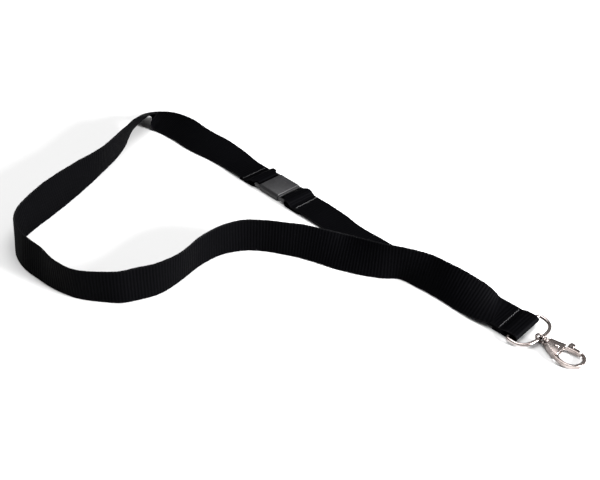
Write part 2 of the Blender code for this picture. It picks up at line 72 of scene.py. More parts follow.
class Slot(Enum):
    """Material slots that the record names."""

    WEBBING = "black_webbing"
    THREAD = "grey_thread"
    SOCKET = "grey_plastic"
    PLUG = "dark_plastic"
    NICKEL = "nickel"
    WIRE = "ring_wire"
    STEEL = "spring_steel"


# ------------------------------------------------------------------ node helpers


def new_group(name: str, inputs: dict[str, float], outputs: dict[str, str]) -> tuple:
    """Start a shader node group with float inputs.

    Args:
        name: the group's name.
        inputs: input names with their default values.
        outputs: output names with their socket types.

    Returns:
        The node tree, its input node and its output node.
    """
    tree = bpy.data.node_groups.new(name, "ShaderNodeTree")
    for key, value in inputs.items():
        socket = tree.interface.new_socket(key, in_out="INPUT", socket_type="NodeSocketFloat")
        socket.default_value = value
    for key, kind in outputs.items():
        tree.interface.new_socket(key, in_out="OUTPUT", socket_type=kind)
    return tree, tree.nodes.new("NodeGroupInput"), tree.nodes.new("NodeGroupOutput")


def feed(tree: bpy.types.NodeTree, node: bpy.types.Node, links: dict) -> None:
    """Link sockets to a node's inputs, or set their values."""
    for key, value in links.items():
        if isinstance(value, bpy.types.NodeSocket):
            tree.links.new(value, node.inputs[key])
        else:
            node.inputs[key].default_value = value


def add_node(tree: bpy.types.NodeTree, kind: str, links: dict | None = None, **settings) -> bpy.types.Node:
    """Add a node, set its fields and feed its inputs.

    Args:
        tree: the tree that gets the node.
        kind: the node's type.
        links: input index or name, with a socket to link or a value to set.
        settings: fields of the node itself.

    Returns:
        The new node.
    """
    node = tree.nodes.new(kind)
    for key, value in settings.items():
        setattr(node, key, value)
    feed(tree, node, links or {})
    return node


def calculate(tree: bpy.types.NodeTree, operation: str, *values,
              clamp: bool = False) -> bpy.types.NodeSocket:
    """One Math node's output for the given sockets or numbers."""
    links = dict(enumerate(values))
    return add_node(tree, "ShaderNodeMath", links, operation=operation, use_clamp=clamp).outputs[0]


def multiply(tree: bpy.types.NodeTree, first, second) -> bpy.types.NodeSocket:
    """Product of two sockets or numbers."""
    return calculate(tree, "MULTIPLY", first, second)


def add(tree: bpy.types.NodeTree, first, second, clamp: bool = False) -> bpy.types.NodeSocket:
    """Sum of two sockets or numbers."""
    return calculate(tree, "ADD", first, second, clamp=clamp)


def remap(tree: bpy.types.NodeTree, value, low: float, high: float, to_low: float, to_high: float):
    """Value moved from one range to another, held at its ends."""
    node = add_node(tree, "ShaderNodeMapRange", {0: value, 1: low, 2: high, 3: to_low, 4: to_high})
    return node.outputs[0]


def noise(tree: bpy.types.NodeTree, vector, scale, detail: float = 3.0, roughness: float = 0.55):
    """Noise texture's factor over a vector."""
    node = add_node(tree, "ShaderNodeTexNoise",
                    {"Vector": vector, "Scale": scale, "Detail": detail, "Roughness": roughness})
    return node.outputs["Fac"]


def bumped(tree: bpy.types.NodeTree, height, strength: float, distance: float) -> bpy.types.NodeSocket:
    """Normal of a surface raised by a height socket."""
    links = {"Strength": strength, "Distance": distance, "Height": height}
    return add_node(tree, "ShaderNodeBump", links).outputs[0]


def webbing_group() -> bpy.types.NodeTree:
    """Ribbed weave from a strap's own UVs, which are millimetres across and along.

    Returns:
        A group with a colour factor that paints highlights on the rib crests and yarn crowns over random
        tone, a height, a fuzz mask and a wear mask.
    """
    tree, given, result = new_group(
        "woven_ribs",
        {"Pitch": 1.7, "Yarn": 0.62, "Half width": 10.0},
        {"Crest highlight and tone": "NodeSocketFloat", "Height": "NodeSocketFloat", "Fuzz": "NodeSocketFloat",
         "Wear": "NodeSocketFloat"},
    )
    uv = add_node(tree, "ShaderNodeUVMap", uv_map="strap")
    parts = add_node(tree, "ShaderNodeSeparateXYZ", {0: uv.outputs[0]})
    across, along = parts.outputs[0], parts.outputs[1]
    place = add_node(tree, "ShaderNodeTexCoord").outputs["Object"]
    drift = remap(tree, noise(tree, place, 260.0), 0.3, 0.7, -0.10, 0.10)
    # Rib crests run across the strap, one to a pitch.
    turns = calculate(tree, "DIVIDE", add(tree, along, drift), given.outputs["Pitch"])
    rib = calculate(tree, "COSINE", multiply(tree, turns, 2 * math.pi))
    rib = calculate(tree, "MULTIPLY_ADD", rib, 0.5, 0.5)
    # Warp yarns lie side by side across the ribs, each second one half a rib on.
    yarn = calculate(tree, "DIVIDE", across, given.outputs["Yarn"])
    yarn_wave = calculate(tree, "SINE", multiply(tree, yarn, math.pi))
    yarn_wave = calculate(tree, "ABSOLUTE", yarn_wave)
    column = calculate(tree, "FLOOR", yarn)
    odd = multiply(tree, calculate(tree, "FRACT", multiply(tree, column, 0.5)), math.pi)
    pick = add(tree, multiply(tree, turns, 2 * math.pi), odd)
    pick = calculate(tree, "MULTIPLY_ADD", calculate(tree, "SINE", pick), 0.5, 0.5)
    fibre_place = add_node(tree, "ShaderNodeCombineXYZ",
                           {0: multiply(tree, across, 9.0), 1: multiply(tree, along, 1.4)})
    fibre = noise(tree, fibre_place.outputs[0], 1.0, 2.0)
    height = calculate(tree, "MULTIPLY_ADD", rib, 0.5, multiply(tree, yarn_wave, 0.22))
    height = add(tree, height, multiply(tree, pick, 0.16))
    height = add(tree, height, multiply(tree, fibre, 0.14))
    tree.links.new(height, result.inputs["Height"])
    cloud = noise(tree, place, 34.0, 4.0)
    # Painted highlight: rib crests and yarn crowns are lighter and the troughs between them darker; fibre
    # and cloud add random tone.
    crest_highlight_and_tone = add(tree, multiply(tree, rib, 0.45), multiply(tree, yarn_wave, 0.2))
    crest_highlight_and_tone = add(tree, crest_highlight_and_tone, multiply(tree, fibre, 0.25))
    crest_highlight_and_tone = add(tree, crest_highlight_and_tone, calculate(tree, "MULTIPLY_ADD", cloud, 0.3, -0.1), clamp=True)
    tree.links.new(crest_highlight_and_tone, result.inputs["Crest highlight and tone"])
    lint = noise(tree, place, 900.0, 2.0, 0.7)
    tree.links.new(remap(tree, lint, 0.62, 0.78, 0.0, 1.0), result.inputs["Fuzz"])
    edge = calculate(tree, "DIVIDE", calculate(tree, "ABSOLUTE", across), given.outputs["Half width"])
    patchy = remap(tree, cloud, 0.4, 0.65, 0.2, 1.0)
    worn = multiply(tree, remap(tree, edge, 0.93, 1.0, 0.0, 1.0), patchy)
    tree.links.new(worn, result.inputs["Wear"])
    return tree


def wear_group() -> bpy.types.NodeTree:
    """Edge wear, fine scratches and dust for hard pieces.

    Returns:
        A group with an edge mask, a scratch height, a dust mask and a smudge mask.
    """
    tree, given, result = new_group(
        "handling_marks",
        {"Grain": 1800.0},
        {"Edge": "NodeSocketFloat", "Height": "NodeSocketFloat", "Dust": "NodeSocketFloat",
         "Smudge": "NodeSocketFloat"},
    )
    place = add_node(tree, "ShaderNodeTexCoord").outputs["Object"]
    geometry = add_node(tree, "ShaderNodeNewGeometry")
    pointed = remap(tree, geometry.outputs["Pointiness"], 0.52, 0.60, 0.0, 1.0)
    patch = noise(tree, place, 420.0, 4.0, 0.6)
    tree.links.new(multiply(tree, pointed, remap(tree, patch, 0.4, 0.6, 0.2, 1.0)),
                   result.inputs["Edge"])
    fine = noise(tree, place, given.outputs["Grain"], 3.0, 0.6)
    tree.links.new(fine, result.inputs["Height"])
    specks = noise(tree, place, 2600.0, 1.0, 0.5)
    tree.links.new(remap(tree, specks, 0.70, 0.80, 0.0, 1.0), result.inputs["Dust"])
    smudge = remap(tree, noise(tree, place, 150.0, 3.0, 0.5), 0.35, 0.7, 0.0, 1.0)
    tree.links.new(smudge, result.inputs["Smudge"])
    return tree


@dataclass(frozen=True)
class Groups:
    """Shared node groups, built once."""

    webbing: bpy.types.NodeTree
    marks: bpy.types.NodeTree


def start_material(name: str) -> tuple:
    """New node material with its Principled shader.

    Returns:
        The material, its tree and the shader.
    """
    made = bpy.data.materials.new(name)
    made.use_nodes = True
    return made, made.node_tree, made.node_tree.nodes["Principled BSDF"]


def place_group(tree: bpy.types.NodeTree, group: bpy.types.NodeTree, values: dict[str, float]):
    """A group's node in a material's tree, with its own values."""
    return add_node(tree, "ShaderNodeGroup", values, node_tree=group)


def blend_colour(tree: bpy.types.NodeTree, factor, first, second) -> bpy.types.NodeSocket:
    """Mix of two colours or colour sockets by a factor."""
    node = tree.nodes.new("ShaderNodeMix")
    node.data_type = "RGBA"
    for socket, value in ((node.inputs[0], factor), (node.inputs[6], first), (node.inputs[7], second)):
        if isinstance(value, bpy.types.NodeSocket):
            tree.links.new(value, socket)
        else:
            socket.default_value = value if isinstance(value, float) else (*value, 1.0)
    return node.outputs[2]


# ------------------------------------------------------------------ finishes


@dataclass(frozen=True)
class WebbingFinish:
    """Ribbed woven polyester."""

    name: str
    # Colours of the rib troughs and crests: the crests' lighter colour is a painted highlight.
    low: tuple[float, float, float] = (0.0001, 0.0001, 0.0002)
    high: tuple[float, float, float] = (0.0009, 0.0009, 0.0013)
    worn: tuple[float, float, float] = (0.006, 0.006, 0.0065)
    pitch: float = 1.7
    relief: float = 0.00022
    roughness: float = 0.62
    lint: tuple[float, float, float] = (0.006, 0.006, 0.007)

    def make(self, groups: Groups) -> bpy.types.Material:
        """Build the material from the shared weave group."""
        made, tree, shader = start_material(self.name)
        weave = place_group(tree, groups.webbing, {"Pitch": self.pitch})
        # Painted highlight: rib crests take the high colour and troughs the low colour, over random tone.
        colour = blend_colour(tree, weave.outputs["Crest highlight and tone"], self.low, self.high)
        colour = blend_colour(tree, weave.outputs["Wear"], colour, self.worn)
        fuzz = multiply(tree, weave.outputs["Fuzz"], 0.35)
        rough = (self.roughness + 0.14, self.roughness - 0.08)
        feed(tree, shader, {
            "Base Color": blend_colour(tree, fuzz, colour, self.lint),
            "Roughness": remap(tree, weave.outputs["Crest highlight and tone"], 0.0, 1.0, *rough),
            "Normal": bumped(tree, weave.outputs["Height"], 0.7, self.relief),
            "Specular IOR Level": 0.014,
        })
        return made


@dataclass(frozen=True)
class ThreadFinish:
    """Twisted sewing thread."""

    name: str
    colour: tuple[float, float, float] = (0.012, 0.012, 0.0135)

    def make(self, groups: Groups) -> bpy.types.Material:
        """Build the material with a fine twist, its grooves painted darker as shade."""
        made, tree, shader = start_material(self.name)
        place = add_node(tree, "ShaderNodeTexCoord").outputs["Object"]
        twist = add_node(tree, "ShaderNodeTexWave",
                         {"Vector": place, "Scale": 1500.0, "Distortion": 1.5, "Detail": 2.0},
                         bands_direction="DIAGONAL")
        marks = place_group(tree, groups.marks, {"Grain": 3000.0})
        # Painted shade: the twist's grooves are darker than the thread's own colour, and its crowns keep
        # that colour.
        dark = tuple(channel * 0.45 for channel in self.colour)
        colour = blend_colour(tree, twist.outputs["Fac"], dark, self.colour)
        feed(tree, shader, {
            "Base Color": blend_colour(tree, marks.outputs["Dust"], colour, (0.02, 0.02, 0.02)),
            "Roughness": 0.55,
            "Normal": bumped(tree, twist.outputs["Fac"], 0.6, 0.00008),
            "Sheen Weight": 0.15,
        })
        return made


@dataclass(frozen=True)
class PlasticFinish:
    """Moulded plastic with a fine matte grain."""

    name: str
    colour: tuple[float, float, float]
    roughness: float = 0.5

    def make(self, groups: Groups) -> bpy.types.Material:
        """Build the material with its grain, rubbed edges and dust."""
        made, tree, shader = start_material(self.name)
        marks = place_group(tree, groups.marks, {"Grain": 5200.0})
        light = tuple(min(channel * 1.7, 1.0) for channel in self.colour)
        dark = tuple(channel * 0.86 for channel in self.colour)
        colour = blend_colour(tree, marks.outputs["Smudge"], dark, self.colour)
        colour = blend_colour(tree, multiply(tree, marks.outputs["Edge"], 0.6), colour, light)
        dust = multiply(tree, marks.outputs["Dust"], 0.4)
        rough = (self.roughness + 0.08, self.roughness - 0.05)
        feed(tree, shader, {
            "Base Color": blend_colour(tree, dust, colour, (0.3, 0.3, 0.3)),
            "Roughness": remap(tree, marks.outputs["Smudge"], 0.0, 1.0, *rough),
            "Normal": bumped(tree, marks.outputs["Height"], 0.35, 0.00006),
            "Specular IOR Level": 0.4,
        })
        return made


@dataclass(frozen=True)
class MetalFinish:
    """Plated metal with soft casting waves and fine scratches."""

    name: str
    colour: tuple[float, float, float]
    roughness: float = 0.16
    grain: float = 900.0
    waviness: float = 0.000015
    tarnish: tuple[float, float, float] = (0.22, 0.18, 0.17)

    def make(self, groups: Groups) -> bpy.types.Material:
        """Build the material with its smudges and worn edges."""
        made, tree, shader = start_material(self.name)
        marks = place_group(tree, groups.marks, {"Grain": self.grain})
        dull = tuple(channel * share for channel, share in zip(self.colour, self.tarnish))
        bright = tuple(min(channel * 1.12, 1.0) for channel in self.colour)
        colour = blend_colour(tree, marks.outputs["Smudge"], self.colour, dull)
        rough = remap(tree, marks.outputs["Smudge"], 0.0, 1.0, self.roughness, self.roughness + 0.13)
        feed(tree, shader, {
            "Base Color": blend_colour(tree, marks.outputs["Edge"], colour, bright),
            "Roughness": add(tree, rough, multiply(tree, marks.outputs["Dust"], 0.2)),
            "Normal": bumped(tree, marks.outputs["Height"], 0.25, self.waviness),
            "Metallic": 1.0,
        })
        return made


# ------------------------------------------------------------------ mesh helpers


def frame_at(place: Sequence[float], heading: float, roll: float = 0.0) -> Matrix:
    """Matrix in metres of a local frame: X along the heading, Y across, Z up."""
    x, y, z = place
    move = Matrix.Translation(Vector((x - LAYOUT_CENTRE[0], y - LAYOUT_CENTRE[1], z)) * MM)
    turn = Matrix.Rotation(math.radians(heading), 4, "Z")
    return move @ turn @ Matrix.Rotation(math.radians(roll), 4, "X")


def ease(value: float) -> float:
    """Smooth step from 0 to 1."""
    value = min(max(value, 0.0), 1.0)
    return value * value * (3.0 - 2.0 * value)


def finish_mesh(name: str, mesh: bmesh.types.BMesh, body: str | None,
                material: bpy.types.Material, nodes: Iterable[str] = (), matrix: Matrix | None = None,
                sharp: float = 40.0) -> bpy.types.Object:
    """Turn a bmesh into a piece that rides on a body.

    Args:
        name: the piece's name.
        mesh: the finished bmesh, which is freed.
        body: the CAD body it rides on; None leaves the piece on no body.
        material: its material.
        nodes: the CAD nodes it replaces.
        matrix: places the mesh in the row frame.
        sharp: angle above which an edge stays sharp.

    Returns:
        The new object.
    """
    if matrix is not None:
        mesh.transform(matrix)
    bmesh.ops.recalc_face_normals(mesh, faces=mesh.faces)
    data = bpy.data.meshes.new(name)
    mesh.to_mesh(data)
    mesh.free()
    data.shade_smooth()
    data.set_sharp_from_angle(angle=math.radians(sharp))
    obj = bpy.data.objects.new(name, data)
    data.materials.append(material)
    bpy.context.scene.collection.objects.link(obj)
    if body is not None:
        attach(obj, body)
    if nodes:
        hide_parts(*nodes)
    LOG.info("piece %s: %d faces on %s", name, len(data.polygons), body or "a blend")
    return obj


def loft(mesh: bmesh.types.BMesh, rings: Sequence[Sequence[Vector]],
         closed: bool = False) -> list[list[bmesh.types.BMVert]]:
    """Skin rings of points, in metres, in order.

    Returns:
        The rings' vertices.
    """
    made = [[mesh.verts.new(point) for point in ring] for ring in rings]
    pairs = list(zip(made, made[1:]))
    if closed:
        pairs.append((made[-1], made[0]))
    for first, second in pairs:
        for k in range(len(first)):
            n = (k + 1) % len(first)
            mesh.faces.new((first[k], first[n], second[n], second[k]))
    if not closed:
        mesh.faces.new(made[0][::-1])
        mesh.faces.new(made[-1])
    return made


def wire(mesh: bmesh.types.BMesh, path: Sequence[Sequence[float]], radius: float | Callable[[float], float],
         closed: bool = False, sides: int = 20) -> None:
    """Round wire along a path in mm, with a radius or a radius by share of the path."""
    total = len(path)
    rings: list[list[Vector]] = []
    normal: Vector | None = None
    for i, point in enumerate(path):
        before = path[(i - 1) % total] if closed else path[max(i - 1, 0)]
        after = path[(i + 1) % total] if closed else path[min(i + 1, total - 1)]
        ahead = (Vector(after) - Vector(before)).normalized()
        if normal is None:
            normal = ahead.orthogonal().normalized()
        normal = (normal - ahead * normal.dot(ahead)).normalized()
        other = ahead.cross(normal)
        size = radius(i / (total - 1)) if callable(radius) else radius
        rings.append([
            (Vector(point) + (normal * math.cos(a) + other * math.sin(a)) * size) * MM
            for a in (2 * math.pi * k / sides for k in range(sides))
        ])
    loft(mesh, rings, closed)


def lathe(mesh: bmesh.types.BMesh, profile: Sequence[tuple[float, float]], sides: int = 40) -> None:
    """Solid of revolution about local X from (x, radius) points in mm."""
    rings = [
        [Vector((along, radius * math.cos(a), radius * math.sin(a))) * MM
         for a in (2 * math.pi * k / sides for k in range(sides))]
        for along, radius in profile
    ]
    loft(mesh, rings)


def outline_curve(points: Sequence[tuple[float, float]], rounds: int = 2) -> list[tuple[float, float]]:
    """Closed outline with its corners cut round by repeated corner cutting."""
    for _ in range(rounds):
        cut = []
        for a, b in zip(points, [*points[1:], points[0]]):
            cut.append((a[0] * 0.75 + b[0] * 0.25, a[1] * 0.75 + b[1] * 0.25))
            cut.append((a[0] * 0.25 + b[0] * 0.75, a[1] * 0.25 + b[1] * 0.75))
        points = cut
    return list(points)


def inset_outline(points: Sequence[tuple[float, float]], amount: float) -> list[tuple[float, float]]:
    """Closed outline moved inwards by an amount, its points kept one to one."""
    area = sum(a[0] * b[1] - b[0] * a[1] for a, b in zip(points, [*points[1:], points[0]]))
    sign = 1.0 if area > 0 else -1.0
    moved = []
    for i, point in enumerate(points):
        before, after = points[i - 1], points[(i + 1) % len(points)]
        e1 = Vector((point[0] - before[0], point[1] - before[1])).normalized()
        e2 = Vector((after[0] - point[0], after[1] - point[1])).normalized()
        n1, n2 = Vector((-e1.y, e1.x)), Vector((-e2.y, e2.x))
        middle = n1 + n2
        scale = sign * amount / max(0.35, 1 + n1.dot(n2))
        moved.append((point[0] + middle.x * scale, point[1] + middle.y * scale))
    return moved


def pillow(mesh: bmesh.types.BMesh, outline: Sequence[tuple[float, float]], low: float, high: float,
           bevel: float = 0.3, steps: int = 3, plane: str = "XY") -> None:
    """Plate with rounded rims: an outline in mm between two heights.

    Args:
        mesh: the bmesh that gets it.
        outline: closed outline in the plane's two axes.
        low: lower height.
        high: upper height.
        bevel: radius of both rims.
        steps: facets in each rim.
        plane: "XY" with heights along Z, or "YZ" with heights along X.
    """
    levels = []
    for k in range(steps + 1):
        angle = math.pi / 2 * k / steps
        levels.append((bevel * (1 - math.sin(angle)), low + bevel * (1 - math.cos(angle))))
    levels += [(inset, low + high - height) for inset, height in levels[::-1]]
    rings = []
    for inset, height in levels:
        ring = inset_outline(outline, inset) if inset > 1e-6 else outline
        if plane == "XY":
            rings.append([Vector((a, b, height)) * MM for a, b in ring])
        else:
            rings.append([Vector((height, a, b)) * MM for a, b in ring])
    loft(mesh, rings)


def arc(centre: Sequence[float], radius: float, start: float, end: float, count: int,
        stretch: float = 1.0) -> list[tuple[float, float]]:
    """Points of an arc; stretch scales its first coordinate."""
    points = []
    for k in range(count + 1):
        angle = math.radians(start + (end - start) * k / count)
        points.append((centre[0] + radius * stretch * math.cos(angle),
                       centre[1] + radius * math.sin(angle)))
    return points


def cut_with(target: bpy.types.Object, tool: bmesh.types.BMesh, operation: str = "DIFFERENCE") -> None:
    """Apply one exact boolean to a piece and drop the tool."""
    bmesh.ops.recalc_face_normals(tool, faces=tool.faces)
    data = bpy.data.meshes.new("tool")
    tool.to_mesh(data)
    tool.free()
    cutter = bpy.data.objects.new("tool", data)
    bpy.context.scene.collection.objects.link(cutter)
    modifier = target.modifiers.new("boolean", "BOOLEAN")
    modifier.operation = operation
    modifier.solver = "EXACT"
    modifier.object = cutter
    bpy.context.view_layer.update()
    result = bpy.data.meshes.new_from_object(target.evaluated_get(bpy.context.evaluated_depsgraph_get()))
    target.modifiers.clear()
    target.data = result
    bpy.data.objects.remove(cutter, do_unlink=True)
    bpy.data.meshes.remove(data)


# ------------------------------------------------------------------ webbing


@dataclass(frozen=True)
class Section:
    """One cross-section of a strap: centre and half-width direction in mm, and width."""

    centre: Vector
    across: Vector
    width: float


@dataclass(frozen=True)
class StrapSize:
    """Sizes that both straps share."""

    width: float = 20.0
    thick: float = 0.9
    layer: float = 1.2
    fold_radius: float = 1.75
    loop_width: float = 16.0
    tail: float = 3.5
    gather: float = 2.4
    loop_open: float = 4.2
    loop_closed: float = 8.5
    step: float = 1.0
    rib_pitch: float = 1.7
    rib_relief: float = 0.085
    slices_per_rib: int = 6
    flat: float = -90.0
    table_gap: float = 0.1


@dataclass(frozen=True)
class Anchor:
    """An end of a strap: the bar it folds round, and the frame of that end."""

    bar: tuple[float, float, float]
    heading: float
    roll: float
    seam: float

    def matrix(self) -> Matrix:
        """The end's frame in the row frame, in metres."""
        return frame_at(self.bar, self.heading, self.roll)

    def point(self, along: float, height: float, lean: float) -> tuple[float, float, float, float]:
        """Centre and lean of a point given in the end's own frame."""
        local = frame_at((0, 0, 0), self.heading, self.roll).to_3x3() @ Vector((along, 0, height))
        return (self.bar[0] + local.x, self.bar[1] + local.y, self.bar[2] + local.z, lean)


@dataclass
class Strap:
    """A length of webbing that follows a route and folds round bars at its ends."""

    size: StrapSize = field(default_factory=StrapSize)

    def route_point(self, point: Sequence[float]) -> tuple[float, float, float, float]:
        """Centre (x, y, z, lean) of the webbing at one point of a route."""
        x, y, lean, lift = point
        angle = math.radians(lean)
        rise = self.size.width / 2 * abs(math.cos(angle))
        rise += self.size.thick / 2 * abs(math.sin(angle)) + self.size.table_gap
        return (x, y, rise + lift, lean)

    def curve(self, points: Sequence[Sequence[float]]) -> list[Vector]:
        """Dense (x, y, z, lean) samples of a smooth curve through such points."""
        values = [Vector(point) for point in points]
        knots = [0.0]
        for before, after in zip(values, values[1:]):
            knots.append(knots[-1] + (after.to_3d() - before.to_3d()).length)
        slopes = []
        for i in range(len(values)):
            low, high = max(i - 1, 0), min(i + 1, len(values) - 1)
            if low == i or high == i:
                slopes.append((values[high] - values[low]) / (knots[high] - knots[low]))
                continue
            left, right = knots[i] - knots[low], knots[high] - knots[i]
            before = (values[i] - values[low]) / left
            after = (values[high] - values[i]) / right
            slopes.append((before * right + after * left) / (left + right))
        samples = []
        for i in range(len(values) - 1):
            span = knots[i + 1] - knots[i]
            count = max(1, round(span / self.size.step))
            for k in range(count):
                t = k / count
                samples.append(
                    (2 * t**3 - 3 * t**2 + 1) * values[i] + (t**3 - 2 * t**2 + t) * span * slopes[i]
                    + (3 * t**2 - 2 * t**3) * values[i + 1] + (t**3 - t**2) * span * slopes[i + 1]
                )
        samples.append(values[-1])
        return samples

    def route(self, points: Sequence[Sequence[float]]) -> list[Section]:
        """Sections along a route."""
        samples = self.curve(points)
        centres = [sample.to_3d() for sample in samples]
        sections = []
        for i, sample in enumerate(samples):
            ahead = centres[min(i + 1, len(centres) - 1)] - centres[max(i - 1, 0)]
            ahead.normalize()
            side = Vector((0, 0, 1)).cross(ahead).normalized()
            upright = ahead.cross(side)
            lean = math.radians(sample.w)
            across = upright * math.cos(lean) + side * math.sin(lean)
            sections.append(Section(centres[i], across, self.size.width))
        return sections

    def fold(self, anchor: Anchor, layers_below: int, gathered: float, direction: int) -> list[Section]:
        """Sections of an end folded round its bar, from the seam's far side to the tail.

        Args:
            anchor: the end.
            layers_below: layers under the top one at the seam.
            gathered: the webbing's width on the bar.
            direction: +1 or -1, the way the sections are read.

        Returns:
            The sections.
        """
        size = self.size
        frame = frame_at((0, 0, 0), anchor.heading, anchor.roll).to_3x3()
        across = frame @ Vector((0, direction, 0))
        lead = -size.fold_radius + layers_below * size.layer
        reach = anchor.seam + size.tail
        path = [(-reach + k * (reach - size.loop_closed) / 5, lead) for k in range(5)]
        rise = size.loop_closed - size.loop_open
        path += [(-size.loop_closed + rise * k / 12, lead + (size.fold_radius - lead) * ease(k / 12))
                 for k in range(12)]
        path += [(-size.loop_open * (1 - k / 4), size.fold_radius) for k in range(4)]
        path += [(size.fold_radius * math.cos(math.radians(90 - 7.5 * k)),
                  size.fold_radius * math.sin(math.radians(90 - 7.5 * k))) for k in range(25)]
        path += [(-k * reach / 8, -size.fold_radius) for k in range(1, 9)]
        sections = []
        for along, height in path:
            width = gathered + (size.width - gathered) * ease(-along / size.gather)
            centre = Vector(anchor.bar) + frame @ Vector((along, 0, height))
            sections.append(Section(centre, across, width))
        return sections

    def resample(self, sections: Sequence[Section]) -> list[tuple[float, Section]]:
        """Sections at even steps along the strap, each with its distance."""
        knots = [0.0]
        for before, after in zip(sections, sections[1:]):
            knots.append(knots[-1] + (after.centre - before.centre).length)
        spacing = self.size.rib_pitch / self.size.slices_per_rib
        count = int(knots[-1] / spacing)
        out, i = [], 0
        for k in range(count + 1):
            at = knots[-1] * k / count
            while i < len(knots) - 2 and knots[i + 1] < at:
                i += 1
            t = (at - knots[i]) / max(knots[i + 1] - knots[i], 1e-9)
            a, b = sections[i], sections[i + 1]
            out.append((at, Section(a.centre.lerp(b.centre, t), a.across.lerp(b.across, t).normalized(),
                                    a.width + (b.width - a.width) * t)))
        return out

    def profile(self) -> list[tuple[float, float]]:
        """Points round the strap's section: share of the half width, share of the half thickness."""
        flats = [-0.955, -0.9, -0.75, -0.5, -0.25, 0.0, 0.25, 0.5, 0.75, 0.9, 0.955]
        top = [(share, 1.0) for share in flats]
        rim = [(0.985, 0.82), (0.998, 0.42), (1.0, 0.0), (0.998, -0.42), (0.985, -0.82)]
        return (top + rim + [(share, -1.0) for share in flats[::-1]]
                + [(-share, -height) for share, height in rim])

    def skin(self, sections: Sequence[Section]) -> tuple[bmesh.types.BMesh, list[Vector]]:
        """Ribbed closed mesh through sections, with the strap's own UVs in millimetres.

        Returns:
            The mesh, and the middle line in metres.
        """
        size = self.size
        shift = Vector((LAYOUT_CENTRE[0], LAYOUT_CENTRE[1], 0))
        stations = self.resample(sections)
        shape = self.profile()
        rings, line = [], []
        for i, (at, section) in enumerate(stations):
            low, high = max(i - 2, 0), min(i + 2, len(stations) - 1)
            ahead = stations[high][1].centre - stations[low][1].centre
            normal = ahead.cross(section.across).normalized()
            rib = math.cos(2 * math.pi * at / size.rib_pitch)
            centre = section.centre - shift
            line.append(centre * MM)
            sway = 0.10 * math.sin(at * 0.43) + 0.07 * math.sin(at * 1.31 + 1.0)
            ring = []
            for share, height in shape:
                edge = abs(share)
                half = size.thick / 2 - size.rib_relief * (1 - rib) * 0.5 * (1 - 0.5 * edge**6)
                out = section.width / 2 * share
                if edge > 0.97:
                    out += math.copysign(0.05 * rib - 0.05, share) + sway * 0.6
                ring.append((centre + section.across * out + normal * height * half) * MM)
            rings.append(ring)
        mesh = bmesh.new()
        made = loft(mesh, rings)
        layer = mesh.loops.layers.uv.new("strap")
        lookup = {}
        for (at, section), ring in zip(stations, made):
            for (share, _), vert in zip(shape, ring):
                lookup[vert] = (share * section.width / 2, at)
        for face in mesh.faces:
            for loop in face.loops:
                loop[layer].uv = lookup[loop.vert]
        return mesh, line


